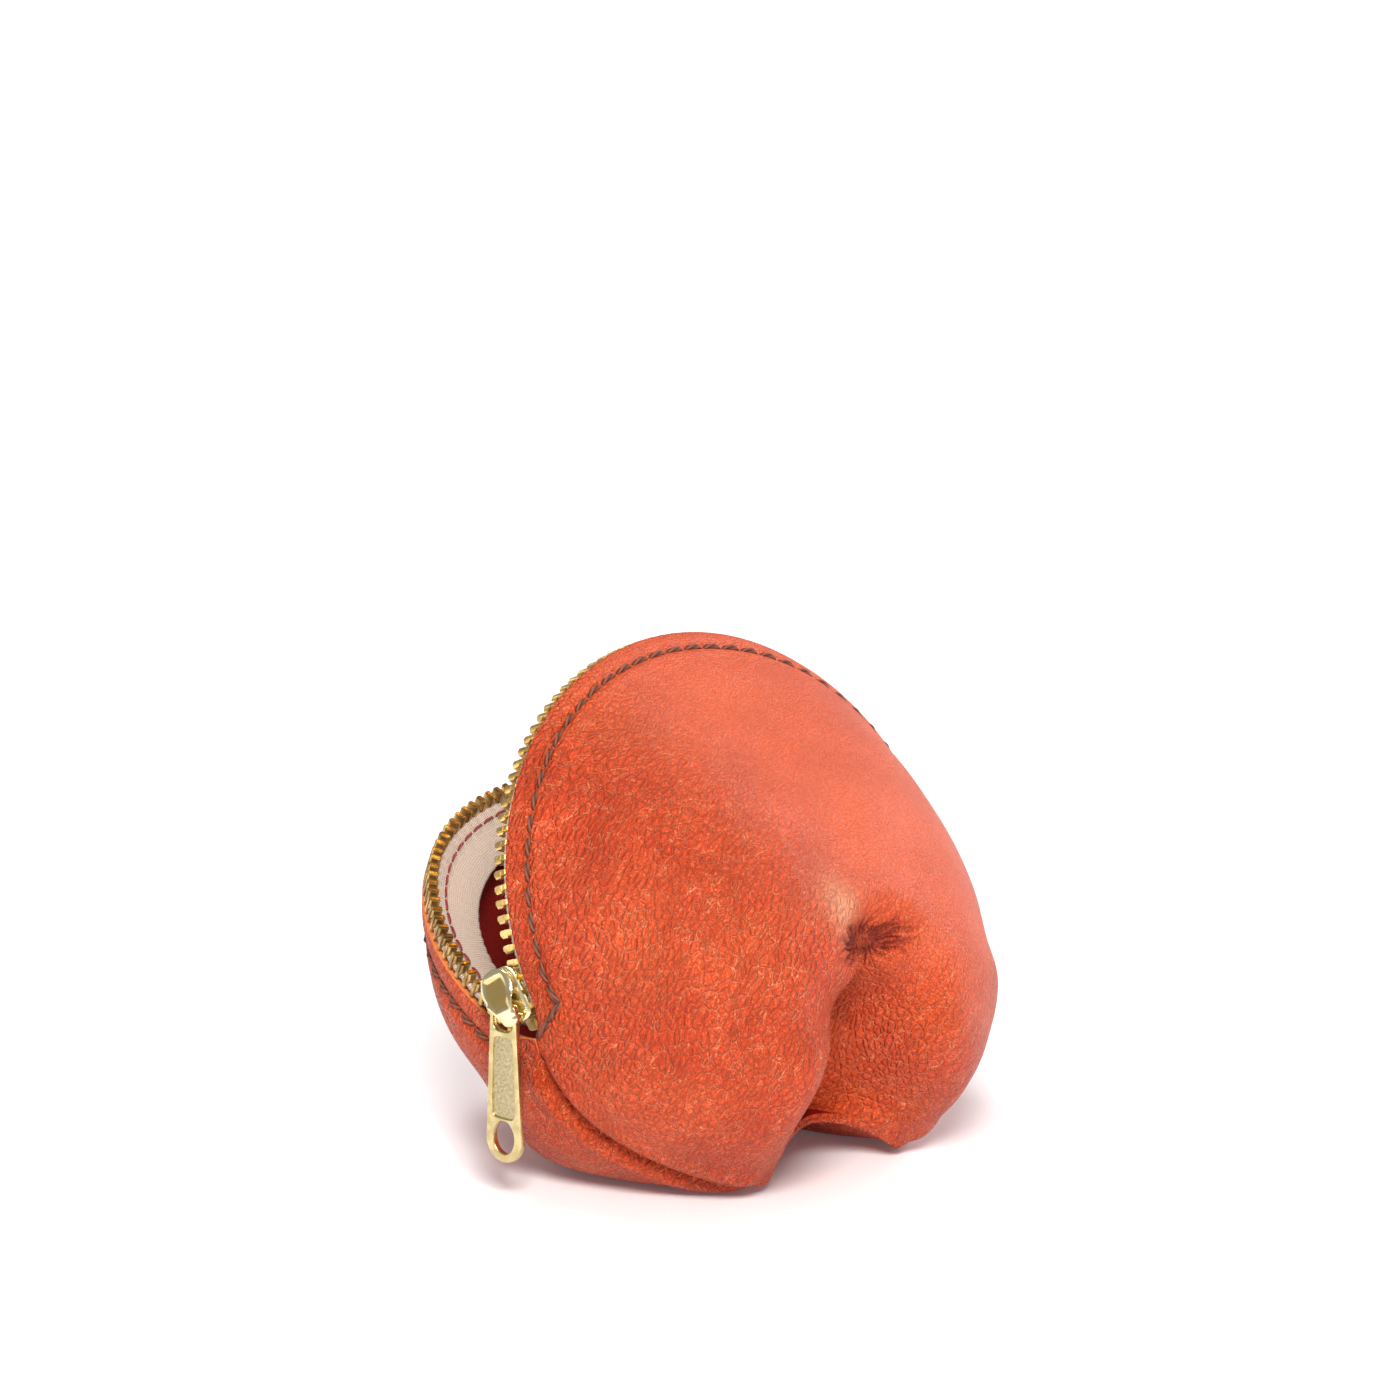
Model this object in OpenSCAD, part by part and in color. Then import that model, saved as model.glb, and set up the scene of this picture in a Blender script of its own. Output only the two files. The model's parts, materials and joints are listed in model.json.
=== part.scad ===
// Zippered pouch: one folded leather piece with two side seams, standing on
// two pointed corners, with a brass zipper round an arched mouth.
// The mouth is stored wide open, with the slider at the left end of the zipper.
// X runs from the left corner to the right one, Y to the back, Z up.

/* [Mouth] */
// Radius of the leather edge round the mouth
rim_r = 48.9; // [47:0.1:50]
// Backward lean of the front lip, degrees
rim_lean = 22.5; // [20:0.5:25]
// Distance from the front corners back to the centre of the front lip
rim_y = 27.5; // [26:0.5:29]
// Height of the centre of the front lip
rim_z = 44; // [43:0.5:46]
// Distance along the lip from its centre down to the line that the mouth opens about
hinge_drop = 12; // [11:0.5:13]
// How far the rear lip is laid open, degrees
mouth_open = 42; // [38:1:44]

/* [Leather] */
// Thickness of the leather, measured towards the middle of the pouch
leather_t = 1.8; // [1.4:0.1:2]
// Half the distance between the two pointed corners
corner_x = 16.5; // [15:0.5:18]
// Height of the top of the fold between the corners
fold_z = 8.4; // [7:0.2:10]

/* [Zipper] */
// Distance from one tooth to the next along the tape
tooth_pitch = 2.5; // [2.3:0.1:3]
// How far a tooth stands out beyond the leather edge
tooth_out = 0.2; // [0:0.05:0.5]
// Thickness of a tooth, in from its outer face
tooth_t = 2.2; // [2:0.05:2.4]
// Length of a tooth across the mouth
tooth_l = 2.2; // [1.8:0.1:2.4]
// Width of the woven tape, from its cord inwards
tape_w = 10; // [9:0.5:11]
// Thickness of the woven tape
tape_t = 0.4; // [0.3:0.05:0.5]
// Length of the slider
slider_l = 10; // [9:0.5:11]
// Length of the pull tab
tab_l = 28; // [24:0.5:30]
// Width of the pull tab at its lower end
tab_w = 7.9; // [7:0.1:8.5]

/* [Hidden] */
$fn = 32;

// Half the distance between the two leather edges of the closed mouth
lip = 4;
// The two directions in the plane of the front lip, and its outward direction
side_x = [1, 0, 0];
up_f = [0, sin(rim_lean), cos(rim_lean)];
out_f = [0, -cos(rim_lean), sin(rim_lean)];
rim_c = [0, rim_y, rim_z];
hinge_c = rim_c - hinge_drop * up_f - lip * out_f;
up_r = [0, sin(rim_lean + mouth_open), cos(rim_lean + mouth_open)];
out_r = [0, cos(rim_lean + mouth_open), -sin(rim_lean + mouth_open)];

// Landmarks of the leather: tip of the left corner, top of the fold, seam end
tip = [-corner_x, 0, 0];
fold_top = [0, 6.5, fold_z];
seam_bow = [-44, 15, 9.5];
seam_half = 46.5;
seam_drop = 19;
seam_end = rim_c - seam_half * side_x - seam_drop * up_f - lip * out_f;
dimple_f = [0, -9, 44];
dimple_r = [0, 40, 8];
middle = [0, 24, 40];

// Places along the boundary of a half panel: 0 at the top of the fold, 1 at the
// corner, 3 at the seam's end, rim_s where the free edge of the mouth begins and
// 6 at the middle of the mouth.
rim_s = 3.4;
// Handles that leave the boundary and that reach the dimple, front then rear
leave_f = [[0, -6, 10], [-8, -14, 10], [-12, -10, 6], [-4, -18, 2], [9, -19, 6],
    [12, -20, 0], [0, -21, -14]];
reach_f = [[0, 1, -8], [-12, -14, -12], [-20, -15, -4], [-22, -13, 2], [-20, -9, 9],
    [-12, -6, 13], [0, -5, 17]];
leave_r = [[0, 6, 4], [-4, 4, -1], [-8, 10, -11], [-6, 14, -22], [4, 6, -30],
    [8, -4, -36], [0, -14, -36]];
reach_r = [[0, -4, -1], [-10, -6, -12], [-20, 0, -14], [-22, 8, -14], [-16, 14, -14],
    [-10, 22, -13], [0, 26, -9]];

// Mesh of the leather: steps round half a panel and from its edge to its dimple
half_n = 42;
step_n = 12;
// Share of the rear panel's depth that belongs to the moving rear lip
lip_share = 0.11;
lip_gap = 0.008;
lip_from = 3.5;
stitch_from = 3.6;

// Zipper places, as radius from the rim centre and height above the lip plane
tooth_r1 = rim_r + tooth_out;
tooth_r0 = tooth_r1 - tooth_t;
chain_r = (tooth_r0 + tooth_r1) / 2;
tooth_z1 = -1.2;
tooth_z0 = tooth_z1 - tooth_l;
chain_end = asin((hinge_drop - 3) / chain_r);
tooth_n = floor((180 + 2 * chain_end) * PI / 180 * chain_r / tooth_pitch);
tooth_step = (180 + 2 * chain_end) / (tooth_n - 1);
slider_from = 180 + asin((hinge_drop - slider_l / 2 - 0.5) / chain_r);
stitch_n = 37;
stitch_q = 0.052;
thread_r = 0.32;
seam_stitches = 14;
// Depth of the seam's thread below the inner skin
seam_thread_in = 1.2;

// Tape: its top face, the place of its bend, how far it stands out at its inner edge,
// and how far it stops short of the middle of its cord
tape_top = -0.4;
tape_bend = 2.3;
tape_rise = 3.0;
tape_short = 0.5;
cord_r = 0.4;
cord_z = -0.78;

// Stops: thickness, length across the mouth, and angle past the last tooth
stop_w = 2.2;
top_stop_l = 1.9;
top_stop_turn = 2.6;
bottom_stop_l = 3.2;
bottom_stop_turn = 3.9;

// Slider: faces of its two plates, counted outwards from the middle of the teeth,
// and half the width of the outer plate across the mouth
plate_t = 1;
outer_face = 1.5;
inner_face = -2.05;
plate_half = 3.7;
inner_half = 3;
// Place of the tab's bar: above the outer plate, and from the slider's middle
pin_up = 1.5;
pin_along = 1.5;
pin_r = chain_r + outer_face + plate_t + pin_up;
window = [2.3, 3.4];
bar = 1.1;
tab_turn = 10;
tab_top_w = 5.6;
slot = [4.4, 3.4];
slot_y = -bar / 2 - 0.1 - slot[1] / 2;
eye_r = 2.3;
eye_y = -tab_l + 5;

function unit(v) = v / norm(v);
function flip(v) = [-v[0], v[1], v[2]];
function knot(p, i) = i < 0 ? flip(p[-i]) : i > 6 ? flip(p[12 - i]) : p[i];
function blend4(a, b, c, d, f) = (2 * b + (c - a) * f + (2 * a - 5 * b + 4 * c - d) * f * f
    + (3 * b - a - 3 * c + d) * f * f * f) / 2;
function along(p, s) = let(i = min(floor(s), 5))
    blend4(knot(p, i - 1), knot(p, i), knot(p, i + 1), knot(p, i + 2), s - i);
function cubic(a, b, c, d, q) = pow(1 - q, 3) * a + 3 * pow(1 - q, 2) * q * b
    + 3 * (1 - q) * q * q * c + pow(q, 3) * d;

function fold_line(q) = cubic(fold_top, fold_top + [-5, 0, 0], tip + [4, 1.8, 5.5], tip, q);
function seam_line(q) = pow(1 - q, 2) * tip + 2 * (1 - q) * q * seam_bow + q * q * seam_end;
rim_end = 180 + asin((hinge_drop + 1) / rim_r);
function rim_at(a, front) = front
    ? rim_c + rim_r * (cos(a) * side_x + sin(a) * up_f)
    : hinge_c + lip * out_r + hinge_drop * up_r + rim_r * (cos(a) * side_x + sin(a) * up_r);
function edge(s, front) = s <= 1 ? fold_line(s)
    : s <= 3 ? seam_line((s - 1) / 2)
    : s <= rim_s ? seam_end + (s - 3) / (rim_s - 3) * (rim_at(rim_end, front) - seam_end)
    : rim_at(rim_end + (s - rim_s) / (6 - rim_s) * (90 - rim_end), front);

// A point of the outer skin: s round the boundary from 0 to 12, q from edge to dimple
function half_skin(s, q, front) = let(
        e = edge(s, front),
        d = front ? dimple_f : dimple_r,
        a = along(front ? leave_f : leave_r, s),
        b = along(front ? reach_f : reach_r, s),
        p = cubic(e, e + a, d + b, d, q))
    [p[0], p[1], max(p[2], 0)];
function skin(s, q, front) = s <= 6 ? half_skin(s, q, front) : flip(half_skin(12 - s, q, front));
function inner(p) = p + leather_t * unit(middle - p);

// The rear panel starts at the edge below the seam's end, and at the lip above it
function rear_from(s) = let(t = s <= 6 ? s : 12 - s)
    t <= 3 ? 0 : lip_share * min((t - 3) / (rim_s - 3), 1);

// Mesh of the whole folded leather piece: front panel, rear panel and their inner
// skins share the seams and the fold, so it is one closed solid.
round_n = 2 * half_n;
function ring_s(i) = 12 * (i % round_n) / round_n;
function sewn(i) = let(s = ring_s(i), t = s <= 6 ? s : 12 - s) t <= 3;
panel_n = round_n * step_n + 1;
function fi(i, j) = j == step_n ? round_n * step_n : (i % round_n) * step_n + j;
function ri(i, j) = j == 0 && sewn(i % round_n) ? fi(i, 0) : panel_n + fi(i, j);
skin_n = 2 * panel_n;
function panel(front) = [for (i = [0:round_n - 1], j = [0:step_n - 1])
    let(s = ring_s(i), q0 = front ? 0 : rear_from(s)) skin(s, q0 + (1 - q0) * j / step_n, front)];
outer_pts = concat(panel(true), [dimple_f], panel(false), [dimple_r]);
leather_pts = concat(outer_pts, [for (p = outer_pts) inner(p)]);
function quad(a, b, c, d) = [[a, b, c], [a, c, d]];
front_faces = [for (i = [0:round_n - 1], j = [0:step_n - 1])
    each j < step_n - 1 ? quad(fi(i, j), fi(i, j + 1), fi(i + 1, j + 1), fi(i + 1, j))
        : [[fi(i, j), fi(i, step_n), fi(i + 1, j)]]];
rear_faces = [for (i = [0:round_n - 1], j = [0:step_n - 1])
    each j < step_n - 1 ? quad(ri(i, j), ri(i + 1, j), ri(i + 1, j + 1), ri(i, j + 1))
        : [[ri(i, j), ri(i + 1, j), ri(i, step_n)]]];
outer_faces = concat(front_faces, rear_faces);
inner_faces = [for (f = outer_faces) [f[0] + skin_n, f[2] + skin_n, f[1] + skin_n]];
rim_faces = [for (i = [0:round_n - 1]) if (!(sewn(i) && sewn(i + 1)))
    each concat(quad(fi(i, 0), fi(i + 1, 0), fi(i + 1, 0) + skin_n, fi(i, 0) + skin_n),
        quad(ri(i + 1, 0), ri(i, 0), ri(i, 0) + skin_n, ri(i + 1, 0) + skin_n))];

// Puts the middle of the whole part's base at the origin
base_mid = [-2.15, 34.3, 0];
module on_base() {
    translate(-base_mid) children();
}

// Places a child in the plane of the front lip, with the rim's centre at the origin
// and Z pointing out of the pouch
module lip_plane() {
    translate(rim_c) rotate([90 - rim_lean, 0, 0]) children();
}

// The same for the rear lip: a mirror of the front one, laid back about the hinge line
module rear_place() {
    translate(hinge_c) rotate([-mouth_open, 0, 0]) translate(-hinge_c)
        lip_plane() translate([0, 0, -2 * lip]) mirror([0, 0, 1]) children();
}

module leather_body() {
    on_base() color("orangered") polyhedron(leather_pts, concat(outer_faces, inner_faces, rim_faces));
}

// Band of leather along the rear edge of the mouth
band_n = 44;
band_rows = 3;
function band_pt(i, j) = let(s = lip_from + (12 - 2 * lip_from) * i / band_n)
    skin(s, (lip_share - lip_gap) * j / (band_rows - 1), false);
function bi(i, j) = i * band_rows + j;
band_outer = [for (i = [0:band_n], j = [0:band_rows - 1]) band_pt(i, j)];
band_skin = len(band_outer);
band_top = [for (i = [0:band_n - 1], j = [0:band_rows - 2])
    each quad(bi(i, j), bi(i + 1, j), bi(i + 1, j + 1), bi(i, j + 1))];
band_last = band_rows - 1;
band_sides = concat(
    [for (i = [0:band_n - 1]) each concat(
        quad(bi(i + 1, 0), bi(i, 0), bi(i, 0) + band_skin, bi(i + 1, 0) + band_skin),
        quad(bi(i, band_last), bi(i + 1, band_last), bi(i + 1, band_last) + band_skin,
            bi(i, band_last) + band_skin))],
    [for (j = [0:band_rows - 2]) each concat(
        quad(bi(0, j), bi(0, j + 1), bi(0, j + 1) + band_skin, bi(0, j) + band_skin),
        quad(bi(band_n, j + 1), bi(band_n, j), bi(band_n, j) + band_skin,
            bi(band_n, j + 1) + band_skin))]);
module rear_lip_leather() {
    on_base() color("orangered") polyhedron(
        concat(band_outer, [for (p = band_outer) inner(p)]),
        concat(band_top, [for (f = band_top) [f[0] + band_skin, f[2] + band_skin,
            f[1] + band_skin]], band_sides));
}

// Woven tape: it runs straight in past the leather edge, then along the lining side
module tape() {
    rotate([0, 0, -chain_end]) rotate_extrude(angle = 180 + 2 * chain_end)
        polygon([[chain_r - tape_short, tape_top - tape_t], [chain_r - tape_short, tape_top],
            [rim_r - tape_bend, tape_top], [chain_r - tape_short - tape_w, tape_rise],
            [chain_r - tape_short - tape_w - 0.1, tape_rise - tape_t],
            [rim_r - tape_bend - 0.1, tape_top - tape_t]]);
}

// Corded edge of the tape, which the teeth are clamped to
module cord() {
    rotate([0, 0, -chain_end]) rotate_extrude(angle = 180 + 2 * chain_end)
        translate([chain_r, cord_z]) circle(r = cord_r, $fn = 16);
}

// One tooth: a block with a nib that the tooth opposite locks behind
module tooth() {
    translate([0, 0, tooth_z0]) linear_extrude(tooth_l)
        polygon([[tooth_r0, -0.7], [tooth_r1 - 0.5, -0.7], [tooth_r1, -0.35],
            [tooth_r1, 0.35], [tooth_r1 - 0.5, 0.7], [tooth_r0, 0.7]]);
}

module teeth() {
    for (i = [0:tooth_n - 1]) rotate([0, 0, -chain_end + i * tooth_step]) tooth();
}

// A stop: a plain block on the chain line, turned to its place past the last tooth
module stop(across, turn) {
    rotate([0, 0, turn]) translate([tooth_r0, -stop_w / 2, tooth_z1 - across])
        cube([tooth_t - 0.1, stop_w, across]);
}

module front_tape() on_base() color("bisque") lip_plane() tape();
module rear_tape() on_base() color("bisque") rear_place() tape();
module front_cord() on_base() color("wheat") lip_plane() cord();
module rear_cord() on_base() color("wheat") rear_place() cord();
module front_teeth() on_base() color("darkgoldenrod") lip_plane() teeth();
module rear_teeth() on_base() color("darkgoldenrod") rear_place() teeth();
module front_top_stop() on_base() color("goldenrod") lip_plane()
    stop(top_stop_l, -chain_end - top_stop_turn);
module rear_top_stop() on_base() color("goldenrod") rear_place()
    stop(top_stop_l, -chain_end - top_stop_turn);
module bottom_stop() on_base() color("goldenrod") lip_plane()
    stop(bottom_stop_l, 180 + chain_end + bottom_stop_turn);

module stitch(a, b) {
    v = b - a;
    translate(a) rotate([0, acos(v[2] / norm(v)), atan2(v[1], v[0])])
        cylinder(h = norm(v), r = thread_r, $fn = 8);
}

// Row of stitches that holds the tape to the leather, one every stitch length
module topstitch(front) {
    reach = 12 - 2 * stitch_from;
    for (i = [0:stitch_n - 1]) {
        s = stitch_from + reach * (i + 0.12) / stitch_n;
        e = stitch_from + reach * (i + 0.88) / stitch_n;
        stitch(skin(s, stitch_q, front), skin(e, stitch_q, front));
    }
}

// Doubled stitches across the end of the mouth
module bar_tack() {
    for (k = [0:2]) {
        s = stitch_from - 0.02 - 0.07 * k;
        stitch(skin(s, 0.02, true), skin(s - 0.05, stitch_q, true));
    }
}

// Thread of a turned side seam, inside the pouch and a little in from the seam
module seam_thread() {
    deep = leather_t + seam_thread_in;
    for (i = [0:seam_stitches - 1]) {
        a = seam_line(0.08 + 0.88 * i / seam_stitches);
        b = seam_line(0.08 + 0.88 * (i + 0.7) / seam_stitches);
        stitch(a + deep * unit(middle - a), b + deep * unit(middle - b));
    }
}

module front_topstitch() on_base() color("saddlebrown") topstitch(true);
module rear_topstitch() on_base() color("saddlebrown") topstitch(false);
module left_bar_tack() on_base() color("saddlebrown") bar_tack();
module right_bar_tack() on_base() color("saddlebrown") mirror([1, 0, 0]) bar_tack();
module left_seam_thread() on_base() color("saddlebrown") seam_thread();
module right_seam_thread() on_base() color("saddlebrown") mirror([1, 0, 0]) seam_thread();

// Places a child at the slider: X out from the mouth, Y along the chain towards
// the bottom stop, Z across the mouth, with the closed mouth's middle at zero
module slider_place() {
    lip_plane() rotate([0, 0, slider_from]) translate([chain_r, 0, -lip]) children();
}

// Slider casting: outer plate, inner plate and the post that parts the teeth. Its
// sides are open, so that the rear teeth can enter it as the mouth closes.
module slider_body() {
    on_base() color("khaki") slider_place() {
        translate([outer_face, -slider_l / 2, -plate_half])
            cube([plate_t, slider_l, 2 * plate_half]);
        translate([inner_face - plate_t, -slider_l / 2 + 0.4, -inner_half])
            cube([plate_t, slider_l - 0.8, 2 * inner_half]);
        translate([inner_face - 0.2, -slider_l / 2 + 0.2, -0.4])
            cube([outer_face - inner_face + 0.4, 1.8, 0.8]);
    }
}

// Crown: arched bridge that holds the pull tab on the outer plate
module slider_crown() {
    on_base() color("khaki") slider_place()
        translate([outer_face + plate_t, 0, -0.8]) linear_extrude(1.6) difference() {
            polygon([[0, -3.3], [2.4, -1.9], [3.5, -0.8], [3.5, 3.2], [2.7, 4.1], [0, 4.9]]);
            translate([pin_up - window[0] / 2, pin_along - window[1] / 2]) square(window);
        }
}

// Long flat tab with a slot at the top, hanging straight down from the crown
module pull_tab() {
    pin = rim_c + pin_r * (cos(slider_from) * side_x + sin(slider_from) * up_f)
        - lip * out_f + pin_along * (cos(slider_from) * up_f - sin(slider_from) * side_x);
    on_base() color("palegoldenrod") translate(pin) rotate([0, 0, tab_turn])
        rotate([90, 0, -90]) translate([0, 0, -bar / 2]) linear_extrude(bar) difference() {
            hull() {
                translate([0, bar / 2 - 1.5]) square([tab_top_w, 3], center = true);
                translate([0, -tab_l + bar / 2 + tab_w / 2]) circle(d = tab_w);
            }
            translate([0, slot_y]) square(slot, center = true);
            hull() for (y = [-0.6, 0.6]) translate([0, eye_y + y]) circle(r = eye_r);
        }
}

leather_body();
front_tape();
front_cord();
front_teeth();
front_topstitch();
bottom_stop();
front_top_stop();
left_bar_tack();
right_bar_tack();
left_seam_thread();
right_seam_thread();
rear_lip_leather();
rear_tape();
rear_cord();
rear_teeth();
rear_topstitch();
rear_top_stop();
slider_body();
slider_crown();
pull_tab();
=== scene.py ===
import json
from math import asin, cos, floor, pi, radians, sin

import bmesh
import bpy
import numpy as np
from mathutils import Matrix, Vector


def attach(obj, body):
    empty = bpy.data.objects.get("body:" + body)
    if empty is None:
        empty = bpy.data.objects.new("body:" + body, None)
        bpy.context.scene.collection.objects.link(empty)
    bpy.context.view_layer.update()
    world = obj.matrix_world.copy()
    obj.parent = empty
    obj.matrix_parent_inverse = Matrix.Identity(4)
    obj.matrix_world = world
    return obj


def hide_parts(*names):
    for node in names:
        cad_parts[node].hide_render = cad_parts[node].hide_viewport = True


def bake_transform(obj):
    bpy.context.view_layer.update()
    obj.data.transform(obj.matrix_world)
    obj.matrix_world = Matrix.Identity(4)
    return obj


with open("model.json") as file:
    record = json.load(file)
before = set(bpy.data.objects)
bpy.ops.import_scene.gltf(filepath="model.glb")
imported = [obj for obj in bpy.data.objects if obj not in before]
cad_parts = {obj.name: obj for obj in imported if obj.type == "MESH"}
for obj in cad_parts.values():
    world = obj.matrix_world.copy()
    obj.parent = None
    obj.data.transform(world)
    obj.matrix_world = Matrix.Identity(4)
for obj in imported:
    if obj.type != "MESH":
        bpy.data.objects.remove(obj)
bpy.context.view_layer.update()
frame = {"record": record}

MM = 0.001

# ---------------------------------------------------------------------------
# Studio: a white sweep of paper, one broad soft light above and to the left,
# a paler one on the right that edges the leather, and a long-lens camera.
# ---------------------------------------------------------------------------
scene = bpy.context.scene
scene.view_settings.view_transform = "Standard"
scene.view_settings.look = "None"

VIEW_AZIMUTH = radians(-41)
VIEW_ELEVATION = radians(13.3)
VIEW_DISTANCE = 0.95
VIEW_WIDTH = 0.2439
aim = Vector((-0.0032, -0.0043, 0.0811))
toward = Vector((sin(VIEW_AZIMUTH) * cos(VIEW_ELEVATION),
                 -cos(VIEW_AZIMUTH) * cos(VIEW_ELEVATION), sin(VIEW_ELEVATION)))
camera_data = bpy.data.cameras.new("camera")
camera_data.sensor_width = 36
camera_data.lens = 36 * VIEW_DISTANCE / VIEW_WIDTH
camera = bpy.data.objects.new("camera", camera_data)
camera.location = aim + toward * VIEW_DISTANCE
camera.rotation_euler = toward.to_track_quat("Z", "Y").to_euler()
scene.collection.objects.link(camera)
scene.camera = camera


def soft_light(name, place, size, power, colour, target):
    data = bpy.data.lights.new(name, "AREA")
    data.shape = "DISK"
    data.size = size
    data.energy = power
    data.color = colour
    lamp = bpy.data.objects.new(name, data)
    lamp.location = place
    lamp.rotation_euler = (Vector(place) - Vector(target)).to_track_quat("Z", "Y").to_euler()
    scene.collection.objects.link(lamp)


heart = (0.0, 0.0, 0.045)
soft_light("key", (-0.42, -0.52, 0.58), 0.32, 8.4, (1.0, 0.99, 0.97), heart)
soft_light("edge", (0.75, 0.00, 0.35), 0.45, 3.4, (1.0, 0.95, 0.97), heart)
soft_light("top", (-0.05, 0.20, 0.95), 0.25, 2.6, (1.0, 1.0, 1.0), heart)

world = bpy.data.worlds.new("paper_room")
world.use_nodes = True
world.node_tree.nodes["Background"].inputs["Color"].default_value = (1.0, 0.99, 0.985, 1)
world.node_tree.nodes["Background"].inputs["Strength"].default_value = 0.36
scene.world = world


class Value:
    """A socket of a material, with the operators that add Math nodes to it."""

    def __init__(self, finish, socket):
        self.finish = finish
        self.socket = socket

    def maths(self, operation, *others):
        sockets = dict(enumerate(others, 1))
        return self.finish.node("ShaderNodeMath", {"operation": operation}, {0: self, **sockets})

    def back(self, operation, other):
        return self.finish.node("ShaderNodeMath", {"operation": operation}, {0: other, 1: self})

    def __add__(self, other):
        return self.maths("ADD", other)

    __radd__ = __add__

    def __mul__(self, other):
        return self.maths("MULTIPLY", other)

    __rmul__ = __mul__

    def __sub__(self, other):
        return self.maths("SUBTRACT", other)

    def __rsub__(self, other):
        return self.back("SUBTRACT", other)


class Finish:
    """A material: its nodes, and its principled shader's sockets."""

    def __init__(self, name):
        self.material = bpy.data.materials.new(name)
        self.material.use_nodes = True
        self.tree = self.material.node_tree
        self.shader = self.tree.nodes["Principled BSDF"]

    def node(self, kind, settings=None, sockets=None, out=0):
        made = self.tree.nodes.new(kind)
        for key, value in (settings or {}).items():
            setattr(made, key, value)
        for key, value in (sockets or {}).items():
            self.feed(made.inputs[key], value)
        return Value(self, made.outputs[out])

    def feed(self, socket, value):
        if isinstance(value, Value):
            self.tree.links.new(value.socket, socket)
        else:
            socket.default_value = (*value, 1) if hasattr(value, "__len__") and len(value) == 3 \
                and socket.type == "RGBA" else value

    def set(self, **sockets):
        for key, value in sockets.items():
            self.feed(self.shader.inputs[key.replace("_", " ")], value)

    def stored(self, name, out="Vector"):
        return self.node("ShaderNodeAttribute", {"attribute_name": name}, out=out)

    def mix(self, share, first, second):
        return self.node("ShaderNodeMix", {"data_type": "RGBA"}, {0: share, 6: first, 7: second}, 2)

    def step(self, value, low, high):
        return self.node("ShaderNodeMapRange", {"interpolation_type": "SMOOTHSTEP"},
                         {"Value": value, "From Min": low, "From Max": high})

    def scaled(self, vector, by):
        return self.node("ShaderNodeVectorMath", {"operation": "MULTIPLY"}, {0: vector, 1: by})

    def noise(self, vector, scale, detail=3.0, out="Fac"):
        return self.node("ShaderNodeTexNoise", {}, {"Vector": vector, "Scale": scale,
                                                    "Detail": detail}, out)

    def cells(self, vector, scale):
        return self.node("ShaderNodeTexVoronoi", {"feature": "DISTANCE_TO_EDGE"},
                         {"Vector": vector, "Scale": scale})

    def bump(self, height, strength, distance):
        return self.node("ShaderNodeBump", {}, {"Height": height, "Strength": strength,
                                                "Distance": distance})


paper = Finish("paper")
paper_place = paper.node("ShaderNodeTexCoord", out="Object")
fibre = paper.noise(paper_place, 900.0)
from_middle = paper.node("ShaderNodeVectorMath", {"operation": "LENGTH"}, {0: paper_place}, "Value")
far = paper.step(from_middle, 0.10, 0.80)
paper.set(Base_Color=paper.mix(fibre, (0.93, 0.925, 0.93), (0.97, 0.965, 0.965)), Roughness=0.9)
# The paper glows with painted light: faint near the pouch so its real shadows show, bright in the
# distance so the sweep reads white.
paper.set(Emission_Color=paper.mix(far, (0.06, 0.045, 0.05), (0.68, 0.67, 0.675)),
          Emission_Strength=1.0)
floor_mesh = bpy.data.meshes.new("floor")
FLOOR_HALF = 6.0
floor_mesh.from_pydata([(-FLOOR_HALF, -FLOOR_HALF, 0), (FLOOR_HALF, -FLOOR_HALF, 0),
                        (FLOOR_HALF, FLOOR_HALF, 0), (-FLOOR_HALF, FLOOR_HALF, 0)], [],
                       [(0, 1, 2, 3)])
floor_mesh.materials.append(paper.material)
floor_piece = bpy.data.objects.new("floor", floor_mesh)
scene.collection.objects.link(floor_piece)

# ---------------------------------------------------------------------------
# Leather: one piece of pebbled cowhide, folded at the bottom between two
# pointed corners and closed by a turned seam up each side. The front panel is
# pinched in above the fold, so that it stands as two legs under an arch.
# Lengths here are in millimetres from the middle of the pouch's base.
# ---------------------------------------------------------------------------
joints = {joint["name"]: joint for joint in frame["record"]["behaviour"]["joints"]}
rim_c = np.array(joints["slider_travel"]["pos_m"]) / MM
hinge_c = np.array(joints["mouth_close"]["pos_m"]) / MM
out_f = -np.array(joints["slider_travel"]["axis"])
side_x = np.array((1.0, 0, 0))
up_f = np.cross(out_f, side_x)
mouth_open = radians(joints["mouth_close"]["range_deg"][1])


def laid_back(v):
    """A direction of the front lip, turned back to where the rear lip lies open."""
    c, s = cos(mouth_open), sin(mouth_open)
    return np.array((v[0], v[1] * c + v[2] * s, v[2] * c - v[1] * s))


up_r = laid_back(up_f)
out_r = -laid_back(out_f)
# Half the gap between the lips, radius of a lip's edge, and thickness of the leather
LIP = 4.0
RIM_R = 48.9
LEATHER_T = 1.7
# Row of stitches along a lip: how far it lies in from the edge, and how many it has
STITCH_IN = 3.9
STITCHES = 37
hinge_drop = float((rim_c - hinge_c) @ up_f)
shift = np.array((rim_c[0], -34.3, 0))
tip = np.array((-16.5, 0, 0))
fold_top = np.array((0, 6.5, 8.4))
seam_bow = np.array((-44.0, 15, 9.5))
rim_mid = rim_c - shift
seam_end = rim_mid - 19 * up_f - LIP * out_f - 46.5 * side_x
hinge_mid = hinge_c - shift
RIM_S = 3.4
rim_end = pi + asin((hinge_drop + 1) / RIM_R)
front_set = dict(dimple=np.array((0, -9.0, 44)), leave=(
    (0, -6, 10), (-8, -14, 10), (-12, -10, 6), (-4, -18, 2), (9, -19, 6), (12, -20, 0),
    (0, -21, -14)), reach=(
    (0, 1, -8), (-12, -14, -12), (-20, -15, -4), (-22, -13, 2), (-20, -9, 9), (-12, -6, 13),
    (0, -5, 17)))
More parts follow.
